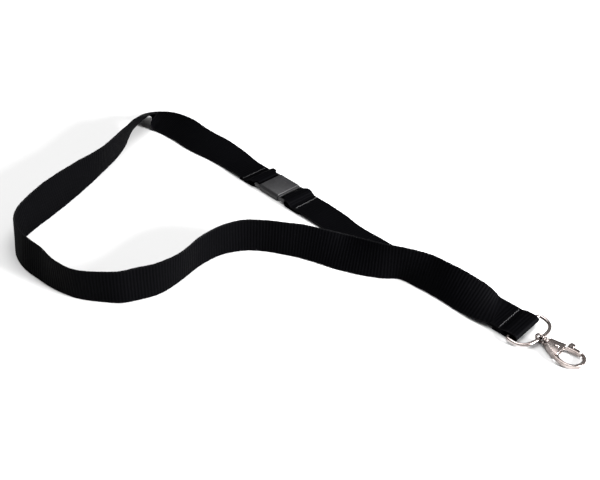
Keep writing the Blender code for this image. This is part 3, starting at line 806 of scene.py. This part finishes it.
@dataclass
class Straps:
    """The long neck strap and the short strap, with their seams."""

    strap: Strap
    ring: Anchor
    socket: Anchor
    plug: Anchor
    plug_travel: Vector
    blend_start: float = 0.016
    blend_length: float = 0.06
    thread_radius: float = 0.21

    # Each point is (x, y, lean, lift): the middle of the webbing in plan, how far its
    # upper edge leans left of the way along it (0 on edge, -90 flat), and its lift.
    neck_route: tuple = (
        (99.0, -58.5, -73, 1.4), (89.2, -52.3, -48, 0), (79, -45.4, -30, 0),
        (68, -37.1, -23, 0), (55, -31.2, -6, 0), (44, -29.3, -17, 0), (34, -25.8, -26, 0),
        (24.5, -22, -31, 0), (13.4, -18.7, -21, 0), (1, -14.8, -14, 0),
        (-10.7, -12.7, -8, 0), (-22, -11.2, -5, 0), (-33.2, -12.3, -4, 0),
        (-44, -18, 1, 0), (-53.6, -28.3, 3, 0), (-62.3, -42.5, 5, 0), (-72, -53, -1, 0),
        (-82.3, -58.4, -4, 0), (-91, -61.8, -2, 0), (-102, -62, 2, 0), (-112, -61, 4, 0),
        (-124, -55, 0, 0), (-136, -44.6, -10, 0), (-149, -32.5, -9, 0),
        (-155.8, -20, -4, 0), (-154.9, -6, 7, 0), (-151.8, 3.5, 12, 0),
        (-146.9, 16.1, 18, 0), (-135.3, 39.5, 8, 0), (-125.9, 58.7, -7, 0),
        (-116.8, 86.6, -13, 0), (-113.5, 102, -24, 0), (-112, 112, -46, 0.5),
        (-110.5, 122, -58, 1.5), (-106.5, 128.5, -68, 2), (-100, 128, -98, 1.6),
        (-95, 125, -107, 0.4), (-90, 121, -112, 0), (-83.7, 115.3, -116, 0), (-69, 101.2, -112, 0),
        (-54, 90, -106, 0), (-43, 80.3, -97, 0.3),
    )
    short_route: tuple = (
        (18.4, 19.7, -90, 0.3), (27.1, 8.8, -90, 0), (38.9, -2.5, -90, 0),
        (48.5, -11.4, -90, 0), (62, -21.2, -90, 0), (73, -31.6, -91, 0),
        (84.4, -40.2, -94, 0), (94.2, -49.2, -100, 0), (100.6, -57.2, -98, 0.2),
    )

    def build(self, webbing: bpy.types.Material, thread: bpy.types.Material) -> None:
        """Build both straps and their seams."""
        self.build_neck(webbing)
        self.build_short(webbing)
        size = self.strap.size
        top = -size.fold_radius + size.layer
        self.build_seam("ring_stitches", self.ring, top + size.layer, "ring_seam", "loop", thread, 0.0)
        self.build_seam("socket_stitches", self.socket, top, "socket_seam", "loop", thread, 1.0)
        self.build_seam("plug_stitches", self.plug, top, "plug_seam", "plug", thread, 2.0)

    def build_neck(self, webbing: bpy.types.Material) -> None:
        """Build the strap that goes round the neck."""
        strap, size = self.strap, self.strap.size
        lead = self.ring.seam + size.tail
        points = [self.ring.point(-along, -size.fold_radius + 2 * size.layer, size.flat + self.ring.roll)
                  for along in (lead, lead + 2.5)]
        points += [strap.route_point(point) for point in self.neck_route]
        lead = self.socket.seam + size.tail
        points += [self.socket.point(-along, -size.fold_radius + size.layer, size.flat)
                   for along in (lead + 5, lead)]
        ring_fold = strap.fold(self.ring, 2, size.width, 1)
        socket_fold = strap.fold(self.socket, 1, size.loop_width, -1)
        mesh, line = strap.skin(ring_fold[:0:-1] + strap.route(points) + socket_fold[1:])
        self.finish(mesh, line, "neck_webbing", "loop", webbing, "neck_strap")

    def build_short(self, webbing: bpy.types.Material) -> None:
        """Build the strap between the buckle's plug and the ring end."""
        strap, size = self.strap, self.strap.size
        lead = self.plug.seam + size.tail
        points = [self.plug.point(-along, -size.fold_radius + size.layer, size.flat)
                  for along in (lead, lead + 5)]
        points += [strap.route_point(point) for point in self.short_route]
        points += [self.ring.point(-along, -size.fold_radius + size.layer, size.flat - self.ring.roll)
                   for along in (self.ring.seam + size.tail + 1, size.loop_closed - 2)]
        plug_fold = strap.fold(self.plug, 1, size.loop_width, 1)
        mesh, line = strap.skin(plug_fold[:0:-1] + strap.route(points))
        piece = self.finish(mesh, line, "short_webbing", None, webbing, "short_strap")
        start = self.plug.matrix().translation + self.plug_travel * self.blend_start
        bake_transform(piece)

    def finish(self, mesh: bmesh.types.BMesh, line: list[Vector], name: str, body: str | None,
               webbing: bpy.types.Material, node: str) -> bpy.types.Object:
        piece = finish_mesh(name, mesh, body, webbing, (node,), sharp=60.0)
        return piece

    def stitch_radius(self, share: float) -> float:
        """Radius of a stitch's thread, thin where it dips into the webbing."""
        inside = min(max(share, 0.04), 0.96)
        return self.thread_radius * (0.45 + 0.55 * math.sin(math.pi * inside) ** 0.4)

    def build_seam(self, name: str, anchor: Anchor, height: float, node: str, body: str,
                   thread: bpy.types.Material, seed: float) -> None:
        """Row of single stitches across a strap, with a loose tail of thread."""
        mesh = bmesh.new()
        count, span = 11, 17.0
        base = height + self.strap.size.thick / 2
        for k in range(count):
            y = -span / 2 + span * (k + 0.5) / count
            half = span / count * 0.43
            drift = 0.10 * math.sin(k * 2.1 + seed)
            path = []
            for i in range(9):
                t = i / 8
                rise = 0.20 * math.sin(math.pi * t) ** 0.5 - 0.10
                path.append((-anchor.seam + drift + 0.05 * math.sin(6 * t + k), y - half + 2 * half * t,
                             base + rise))
            wire(mesh, path, self.stitch_radius, sides=8)
        end = -span / 2
        tail = [(-anchor.seam + 0.3 * math.sin(seed + t * 3.0), end + 0.3 - 1.9 * t,
                 base + 0.12 + 0.25 * math.sin(math.pi * t)) for t in (k / 7 for k in range(8))]
        wire(mesh, tail, lambda t: 0.15 * (1 - 0.5 * t), sides=8)
        finish_mesh(name, mesh, body, thread, (node,), anchor.matrix())


# ------------------------------------------------------------------ buckle


@dataclass
class Buckle:
    """Quick-release buckle: a hollow socket, and a plug with two prongs."""

    centre: tuple[float, float] = (-14.0, 51.3)
    heading: float = -44.5
    face: float = 16.0
    width: float = 19.0
    top_width: float = 16.8
    bottom: float = 0.3
    shoulder: float = 2.8
    top: float = 4.4
    bar_height: float = 2.3
    lip: float = 1.2
    lip_width: float = 18.0
    lip_low: float = 0.6
    lip_high: float = 3.7
    bar_reach: float = 2.9
    arm_inner: float = 8.3
    arm_outer: float = 9.4
    arm_low: float = 1.3
    arm_high: float = 3.3
    cavity_depth: float = 14.0
    cavity_width: float = 13.4
    cavity_low: float = 1.3
    cavity_high: float = 3.3
    seam: float = 10.8
    prong_length: float = 12.6
    prong_width: float = 3.4
    prong_outer: float = 6.2
    wire_radius: float = 1.0

    def frame(self) -> Matrix:
        """The buckle's frame: X from socket to plug."""
        return frame_at((*self.centre, 0), self.heading)

    def away(self) -> Vector:
        """Unit vector from socket to plug."""
        turn = math.radians(self.heading)
        return Vector((math.cos(turn), math.sin(turn), 0))

    def inner(self, side: int) -> float:
        """Inner face of one end's lip along the buckle."""
        return -self.face / 2 + 0.4 if side < 0 else self.face / 2 + GAP

    def bar(self, side: int) -> float:
        """Place of one end's bar along the buckle."""
        return self.inner(side) + side * (self.lip + self.bar_reach)

    def anchor(self, side: int) -> Anchor:
        """The strap's end at one bar."""
        middle = Vector((*self.centre, self.bar_height)) + self.away() * self.bar(side)
        return Anchor(tuple(middle), self.heading + (180 if side > 0 else 0), 0.0, self.seam)

    def strap_end(self, mesh: bmesh.types.BMesh, side: int) -> None:
        """Lip, two arms and the bar of one end."""
        inner = self.inner(side)
        outer = inner + side * self.lip
        bar = self.bar(side)
        low, high = sorted((inner - side * 0.3, outer))
        half = self.lip_width / 2
        section = outline_curve([(-half, self.lip_low), (half, self.lip_low), (half, self.lip_high - 0.4),
                                 (half - 0.5, self.lip_high), (-half + 0.5, self.lip_high),
                                 (-half, self.lip_high - 0.4)], 1)
        pillow(mesh, section, low, high, 0.22, 2, plane="YZ")
        for hand in (-1, 1):
            y0, y1 = sorted((hand * self.arm_inner, hand * self.arm_outer))
            tip = bar + side * self.wire_radius
            x0, x1 = sorted((outer - side * 0.4, tip))
            arm = [(x0, y0), (x1, y0), (x1, y1), (x0, y1)]
            pillow(mesh, outline_curve(arm, 1), self.arm_low, self.arm_high, 0.3)
        reach = (self.arm_inner + self.arm_outer) / 2
        path = [(bar, -reach + 2 * reach * k / 4, self.bar_height) for k in range(5)]
        wire(mesh, path, self.wire_radius)

    def build(self, socket_finish: bpy.types.Material, plug_finish: bpy.types.Material) -> None:
        """Build the socket and the plug."""
        mesh = bmesh.new()
        half, top = self.width / 2, self.top_width / 2
        profile = [
            (-half + 0.6, self.bottom), (half - 0.6, self.bottom), (half, self.bottom + 0.6),
            (half, self.shoulder - 0.2), (half - 0.15, self.shoulder + 0.1), (top + 0.25, self.top - 0.22),
            (top - 0.1, self.top), (-top + 0.1, self.top), (-top - 0.25, self.top - 0.22),
            (-half + 0.15, self.shoulder + 0.1), (-half, self.shoulder - 0.2), (-half, self.bottom + 0.6),
        ]
        pillow(mesh, profile, -self.face / 2, self.face / 2, 0.3, 3, plane="YZ")
        socket = finish_mesh("socket_shell", mesh, "loop", socket_finish, ("buckle_socket",),
                             self.frame(), sharp=35.0)
        cavity = bmesh.new()
        side = self.cavity_width / 2
        hole = outline_curve([(-side, self.cavity_low), (side, self.cavity_low),
                              (side, self.cavity_high), (-side, self.cavity_high)], 1)
        pillow(cavity, hole, self.face / 2 - self.cavity_depth, self.face / 2 + 1, 0.1, 1, plane="YZ")
        cavity.transform(self.frame())
        cut_with(socket, cavity)
        ends = bmesh.new()
        self.strap_end(ends, -1)
        finish_mesh("socket_strap_bar", ends, "loop", plug_finish, (), self.frame())

        mesh = bmesh.new()
        self.strap_end(mesh, 1)
        start = self.inner(1)
        for side in (-1, 1):
            outer, inner = side * self.prong_outer, side * (self.prong_outer - self.prong_width)
            tip = start - self.prong_length
            outline = [(start + 0.5, inner), (tip + 0.6, inner), (tip, inner + side * 0.9),
                       (tip, outer - side * 1.2), (tip + 1.2, outer), (start + 0.5, outer)]
            pillow(mesh, outline, self.cavity_low + GAP, self.cavity_high - GAP, 0.2, 2)
        finish_mesh("plug_body", mesh, "plug", plug_finish, ("buckle_plug",), self.frame())


# ------------------------------------------------------------------ ring and hook


@dataclass
class DRing:
    """D-shaped wire ring that the strap's end folds round."""

    bar: tuple[float, float, float] = (114.7, -69.8, 2.9)
    heading: float = -50.0
    roll: float = 3.5
    half_width: float = 12.7
    depth: float = 11.3
    shoulder: float = 1.6
    squareness: float = 2.8
    straight: float = 10.5
    eye_place: float = 11.0
    radius: float = 1.0

    def matrix(self) -> Matrix:
        """The ring's frame."""
        return frame_at(self.bar, self.heading, self.roll)

    def path(self) -> list[tuple[float, float, float]]:
        """Middle line of the wire: a straight bar and a squarish bow."""
        half, power = self.half_width, 2 / self.squareness
        points = [(0, -self.straight + self.straight * k / 8) for k in range(17)]
        corner = [(0.04, half - 1.75), (0.15, half - 1.2), (0.38, half - 0.72), (0.7, half - 0.35),
                  (1.1, half - 0.1)]
        points += corner
        for k in range(91):
            angle = math.radians(90 - 2 * k)
            swell = max(math.cos(angle), 0.0) ** power
            side = math.copysign(abs(math.sin(angle)) ** power, math.sin(angle))
            points.append((self.shoulder + (self.depth - self.shoulder) * swell, half * side))
        points += [(x, -y) for x, y in corner[::-1]]
        return [(x, y, 0.0) for x, y in points]

    def build(self, finish: bpy.types.Material) -> None:
        """Build the ring."""
        mesh = bmesh.new()
        wire(mesh, self.path(), self.radius, closed=True, sides=24)
        finish_mesh("ring_wire_loop", mesh, "ring", finish, ("d_ring",), self.matrix())


@dataclass
class TriggerHook:
    """Swivelling trigger hook: eye, collar, wedge body, claw, gate, rivet and spring."""

    ring: DRing
    heading: float = -41.5
    pitch: float = 3.6
    eye_radius: float = 2.05
    eye_wire: float = 0.7
    collar_radius: float = 2.35
    body_half: float = 2.0
    claw_half: float = 1.05
    pin: tuple[float, float] = (9.4, -0.3)
    pin_radius: float = 0.8
    slot_half: float = 1.2
    slot_along: tuple[float, float] = (7.2, 13.9)
    slot_across: tuple[float, float] = (-2.6, 7.0)
    tongue_radius: float = 1.9
    tongue_heights: tuple[float, float] = (-0.9, 0.1)
    tab_half: float = 0.8
    coil_radius: float = 1.45
    coil_wire: float = 0.12
    coil_heights: tuple[float, float] = (0.38, 0.96)

    def matrix(self) -> Matrix:
        """The hook's frame, X along the hook from the middle of its eye."""
        crown = self.ring.matrix() @ Vector((self.ring.eye_place * MM, 0, 0))
        turn = Matrix.Rotation(math.radians(self.heading), 4, "Z")
        return Matrix.Translation(crown) @ turn @ Matrix.Rotation(math.radians(self.pitch), 4, "Y")

    def build(self, nickel: bpy.types.Material, steel: bpy.types.Material) -> None:
        """Build every piece of the hook."""
        self.build_eye(nickel)
        self.build_body(nickel)
        self.build_gate(nickel)
        self.build_pin(nickel)
        self.build_spring(steel)

    def settle(self, piece: bpy.types.Object) -> None:
        """Move a finished casting to the hook's place and smooth it."""
        piece.data.transform(self.matrix())
        piece.data.shade_smooth()
        piece.data.set_sharp_from_angle(angle=math.radians(32))

    def build_eye(self, nickel: bpy.types.Material) -> None:
        """Eye on the ring, its neck, flange, post and riveted end."""
        mesh = bmesh.new()
        path = [(x, 0.0, z) for x, z in arc((0, 0), self.eye_radius, 0, 360, 56)[:-1]]
        wire(mesh, path, self.eye_wire, closed=True, sides=20)
        lathe(mesh, [(1.8, 0.5), (2.05, 1.0), (2.2, 1.45), (2.35, 1.9), (2.45, 2.1), (2.6, 2.2),
                     (3.05, 2.2), (3.17, 2.12), (3.2, 1.95), (3.2, 0.95), (6.5, 0.95), (6.5, 1.5),
                     (6.6, 1.6), (7.0, 1.55), (7.2, 1.2)])
        finish_mesh("eye_and_post", mesh, "eye", nickel, ("swivel_eye",), self.matrix())

    def claw_outline(self) -> list[tuple[float, float]]:
        """Outline of the fixed claw, round the tip to its notched nose and back inside."""
        return [
            (9.0, -5.1), (10.0, -5.75), (11.0, -6.3), (12.0, -6.8), (13.0, -7.2), (14.1, -7.52),
            (15.2, -7.75), (16.3, -7.86), (17.4, -7.85), (18.4, -7.75), (19.4, -7.52), (20.3, -7.2),
            (21.2, -6.73), (22.05, -6.15), (22.8, -5.45), (23.45, -4.72), (24.0, -3.88),
            (24.48, -2.92), (24.8, -1.9), (24.97, -0.85), (25.0, 0.2), (24.92, 1.22), (24.68, 2.2),
            (24.3, 3.16), (23.76, 4.0), (23.1, 4.74), (22.3, 5.3), (21.36, 5.74), (20.3, 6.03),
            (20.3, 5.1), (21.6, 4.9), (21.6, 3.75), (22.15, 3.3), (22.6, 2.7), (22.92, 1.98),
            (23.1, 1.2), (23.17, 0.3), (23.15, -0.6), (23.02, -1.52), (22.78, -2.4), (22.36, -3.34),
            (21.8, -4.18), (21.06, -4.92), (20.2, -5.5), (19.13, -5.88), (18.0, -6.05), (16.86, -6.05),
            (15.8, -5.9), (14.8, -5.62), (13.9, -5.2), (13.26, -4.66), (12.8, -4.0), (12.52, -3.2),
            (12.4, -2.4), (9.0, -2.4),
        ]

    def build_body(self, nickel: bpy.types.Material) -> None:
        """Collar, wedge-shaped body with the gate's slot, and the claw."""
        wedge = [(4.6, -2.4), (5.4, -2.95), (6.4, -3.6), (7.7, -4.25), (9.0, -4.9), (10.3, -5.5),
                 (11.4, -5.88), (12.1, -5.75), (12.4, -5.3), (12.4, 3.9), (12.2, 4.2), (11.5, 4.1),
                 (8.7, 3.2), (6.4, 2.7), (4.6, 2.2)]
        mesh = bmesh.new()
        pillow(mesh, wedge, -self.body_half, self.body_half, 0.28)
        body = finish_mesh("hook_casting", mesh, "hook", nickel, ("hook_body",), sharp=35.0)
        claw = bmesh.new()
        pillow(claw, self.claw_outline(), -self.claw_half, self.claw_half, 0.42, 4)
        cut_with(body, claw, "UNION")
        collar = bmesh.new()
        rim = self.collar_radius
        lathe(collar, [(3.8, rim - 0.3), (3.86, rim - 0.1), (4.0, rim), (4.6, rim), (4.8, rim - 0.08),
                       (4.9, rim - 0.3)])
        cut_with(body, collar, "UNION")
        slot = bmesh.new()
        (x0, x1), (y0, y1) = self.slot_along, self.slot_across
        pillow(slot, [(x0, y0), (x1, y0), (x1, y1), (x0, y1)], -self.slot_half, self.slot_half, 0.05, 1)
        cut_with(body, slot)
        bore = bmesh.new()
        lathe(bore, [(2.8, 1.25), (6.2, 1.25), (6.2, 1.9), (7.8, 1.9)], 24)
        cut_with(body, bore)
        self.settle(body)

    def build_gate(self, nickel: bpy.types.Material) -> None:
        """Gate with its tongue in the slot and its thumb tab."""
        mesh = bmesh.new()
        tongue = arc(self.pin, self.tongue_radius, 120, 290, 20) + [(12.6, 2.2), (13.8, 3.6), (12.4, 4.2)]
        pillow(mesh, tongue, *self.tongue_heights, 0.12, 1)
        gate = finish_mesh("gate_casting", mesh, "gate", nickel, ("gate_lever",), sharp=35.0)
        arm = bmesh.new()
        pillow(arm, [(12.9, 3.0), (13.6, 3.1), (14.3, 3.2), (15.5, 3.44), (16.8, 3.65), (17.8, 3.77),
                     (18.8, 3.85), (20.9, 3.85), (20.9, 4.6), (19.35, 4.8), (19.35, 6.15),
                     (18.8, 6.28), (18.1, 6.35), (17.0, 6.3), (15.7, 6.05), (14.3, 5.55), (12.9, 4.95)],
               -self.claw_half, self.claw_half, 0.36, 3)
        cut_with(gate, arm, "UNION")
        tab = bmesh.new()
        pillow(tab, outline_curve([(12.9, 4.5), (15.5, 5.5), (16.0, 7.9), (14.7, 8.95), (12.9, 8.55),
                                   (12.6, 6.4)], 1), -self.tab_half, self.tab_half, 0.3, 3)
        cut_with(gate, tab, "UNION")
        self.settle(gate)

    def build_pin(self, nickel: bpy.types.Material) -> None:
        """Rivet with its domed head."""
        mesh = bmesh.new()
        top = self.body_half + GAP
        lathe(mesh, [(-self.body_half, self.pin_radius - 0.2), (0.1 - self.body_half, self.pin_radius),
                     (top, self.pin_radius), (top, 1.2),
                     (top + 0.1, 1.25), (top + 0.18, 1.2), (top + 0.28, 1.0), (top + 0.34, 0.7),
                     (top + 0.36, 0.35), (top + 0.37, 0.05)], 32)
        upright = Matrix.Translation(Vector((*self.pin, 0)) * MM) @ Matrix.Rotation(-math.pi / 2, 4, "Y")
        finish_mesh("gate_rivet", mesh, "hook", nickel, ("lever_pin",), self.matrix() @ upright)

    def build_spring(self, steel: bpy.types.Material) -> None:
        """Torsion spring round the rivet."""
        x, y = self.pin
        low, high = self.coil_heights
        path = []
        for k in range(65):
            turn = 4 * math.pi * k / 64
            path.append((x + self.coil_radius * math.cos(turn), y + self.coil_radius * math.sin(turn),
                         low + (high - low) * k / 64))
        mesh = bmesh.new()
        wire(mesh, path, self.coil_wire, sides=8)
        finish_mesh("gate_spring", mesh, "gate", steel, ("lever_spring",), self.matrix())


# ------------------------------------------------------------------ studio


@dataclass(frozen=True)
class Softbox:
    """A square area light that points at the middle of the lanyard."""

    name: str
    place: tuple[float, float, float]
    power: float
    size: float


@dataclass
class Studio:
    """Floor, world, lights and camera."""

    elevation: float = 36.0
    distance: float = 514.3
    roll: float = 2.5
    lens: float = 54.0
    horizon: tuple[float, float, float] = (0.05, 0.048, 0.046)
    sky: tuple[float, float, float] = (0.35, 0.35, 0.35)
    boxes: tuple[Softbox, ...] = (
        Softbox("key_light", (0.95, -0.5, 0.3), 60.0, 0.35),
        Softbox("top_light", (0.0, 0.05, 1.3), 26.0, 1.3),
    )

    def build(self) -> None:
        """Build everything round the lanyard."""
        self.build_floor()
        self.build_world()
        for box in self.boxes:
            self.build_light(box)
        self.build_camera()

    def build_floor(self) -> None:
        """Wide pale floor, a hair under the lanyard."""
        mesh = bmesh.new()
        bmesh.ops.create_grid(mesh, x_segments=1, y_segments=1, size=6.0)
        data = bpy.data.meshes.new("floor")
        mesh.to_mesh(data)
        mesh.free()
        floor = bpy.data.objects.new("floor", data)
        floor.location.z = -0.0001
        made, tree, shader = start_material("pale_floor")
        place = add_node(tree, "ShaderNodeTexCoord").outputs["Object"]
        tone = blend_colour(tree, noise(tree, place, 3.0), (0.62, 0.62, 0.62), (0.64, 0.64, 0.64))
        tree.links.new(tone, shader.inputs["Base Color"])
        shader.inputs["Roughness"].default_value = 0.9
        shader.inputs["Specular IOR Level"].default_value = 0.0
        data.materials.append(made)
        bpy.context.scene.collection.objects.link(floor)

    def build_world(self) -> None:
        """Dim surroundings, darker low down, for the metal to show."""
        world = bpy.data.worlds.new("studio")
        world.use_nodes = True
        tree = world.node_tree
        way = add_node(tree, "ShaderNodeTexCoord").outputs["Generated"]
        parts = add_node(tree, "ShaderNodeSeparateXYZ", {0: way})
        height = remap(tree, parts.outputs[2], 0.05, 0.75, 0.0, 1.0)
        tone = blend_colour(tree, height, self.horizon, self.sky)
        background = tree.nodes["Background"]
        tree.links.new(tone, background.inputs["Color"])
        background.inputs["Strength"].default_value = 1.0
        bpy.context.scene.world = world

    def build_light(self, box: Softbox) -> None:
        """One soft light."""
        data = bpy.data.lights.new(box.name, "AREA")
        data.energy = box.power
        data.size = box.size
        light = bpy.data.objects.new(box.name, data)
        light.location = box.place
        light.rotation_euler = (-Vector(box.place)).to_track_quat("-Z", "Y").to_euler()
        bpy.context.scene.collection.objects.link(light)

    def build_camera(self) -> None:
        """Camera a little above the table, looking down at the loop."""
        tilt, roll = math.radians(self.elevation), math.radians(self.roll)
        forward = Vector((0, math.cos(tilt), -math.sin(tilt)))
        right = Vector((1, 0, 0))
        up = right.cross(forward)
        x_axis = right * math.cos(roll) + up * math.sin(roll)
        y_axis = up * math.cos(roll) - right * math.sin(roll)
        turn = Matrix((x_axis, y_axis, -forward)).transposed()
        place = -forward * self.distance - Vector((*LAYOUT_CENTRE, 0))
        data = bpy.data.cameras.new("camera")
        data.lens = self.lens
        data.sensor_width = 36.0
        data.sensor_fit = "HORIZONTAL"
        data.clip_start = 0.01
        camera = bpy.data.objects.new("camera", data)
        camera.matrix_world = Matrix.Translation(place * MM) @ turn.to_4x4()
        bpy.context.scene.collection.objects.link(camera)
        bpy.context.scene.camera = camera
        bpy.context.scene.view_settings.view_transform = "Standard"


def main() -> None:
    """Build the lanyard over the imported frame."""
    logging.basicConfig(level=logging.INFO, format="%(message)s")
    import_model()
    groups = Groups(webbing_group(), wear_group())
    webbing = WebbingFinish("ribbed_webbing").make(groups)
    thread = ThreadFinish("sewing_thread").make(groups)
    socket = PlasticFinish("socket_plastic", (0.008, 0.0078, 0.0088)).make(groups)
    plug = PlasticFinish("plug_plastic", (0.012, 0.0118, 0.013)).make(groups)
    nickel = MetalFinish("nickel_plate", (0.46, 0.41, 0.39), 0.17).make(groups)
    wire_metal = MetalFinish("ring_plate", (0.42, 0.375, 0.36), 0.12).make(groups)
    steel = MetalFinish("spring_wire", (0.5, 0.5, 0.51), 0.3).make(groups)

    buckle = Buckle()
    ring_end = Anchor((115.4, -71.2, 2.9), -43.0, 3.5, 9.2)
    straps = Straps(Strap(), ring_end, buckle.anchor(-1), buckle.anchor(1), buckle.away())
    straps.build(webbing, thread)
    buckle.build(socket, plug)
    ring = DRing()
    ring.build(wire_metal)
    TriggerHook(ring).build(nickel, steel)
    Studio().build()


if __name__ == "__main__":
    main()
